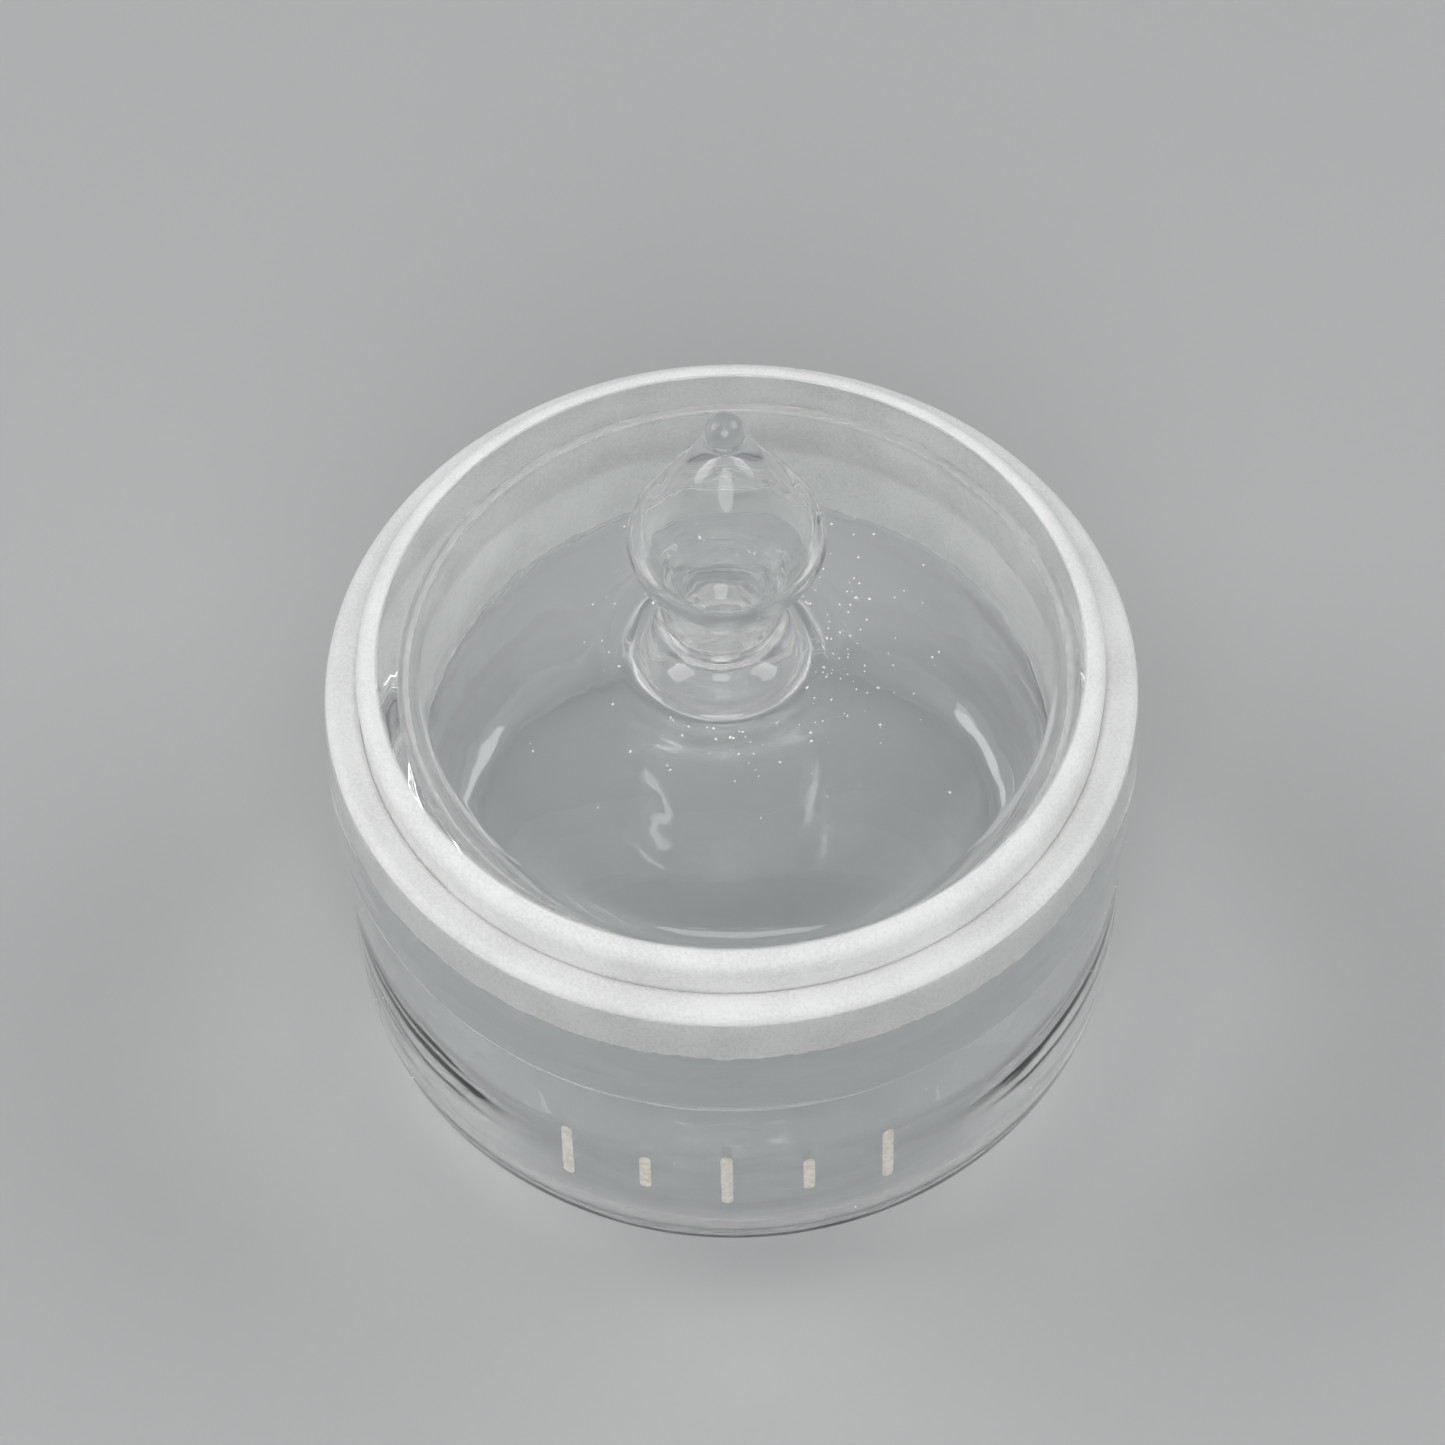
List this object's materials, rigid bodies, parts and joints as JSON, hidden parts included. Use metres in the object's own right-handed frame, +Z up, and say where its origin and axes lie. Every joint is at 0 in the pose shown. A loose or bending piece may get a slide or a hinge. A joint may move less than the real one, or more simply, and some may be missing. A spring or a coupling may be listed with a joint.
{
  "type": "weighing bottle",
  "caption": "Low round clear-glass weighing bottle with a ground mouth and a hollow ground-in stopper that lifts off by a blown knob.",
  "frame": {"origin": "on the bottle's axis, at the level of the foot ring that it stands on", "axes": "+Z up along the axis of the mouth and the stopper; -Y towards the enamel marks on the front"},
  "size_m": [0.05, 0.0502, 0.0521],
  "materials": {
    "bottle_glass": "clear, with a white ground band inside the mouth",
    "stopper_glass": "clear plate, white ground side",
    "knob_glass": "clear, fire polished",
    "enamel": "fired cream enamel, satin"
  },
  "bodies": {
    "bottle": {"bottle_body": "bottle_glass", "scale_mark_1": "enamel", "scale_mark_2": "enamel", "scale_mark_3": "enamel", "scale_mark_4": "enamel", "scale_mark_5": "enamel"},
    "lid": {"lid_stopper": "stopper_glass", "lid_knob": "knob_glass"}
  },
  "joints": [
    {"name": "lid_lift", "type": "slide", "parent": "bottle", "child": "lid", "axis": [0, 0, 1], "range_m": [0, 0.03]}
  ]
}
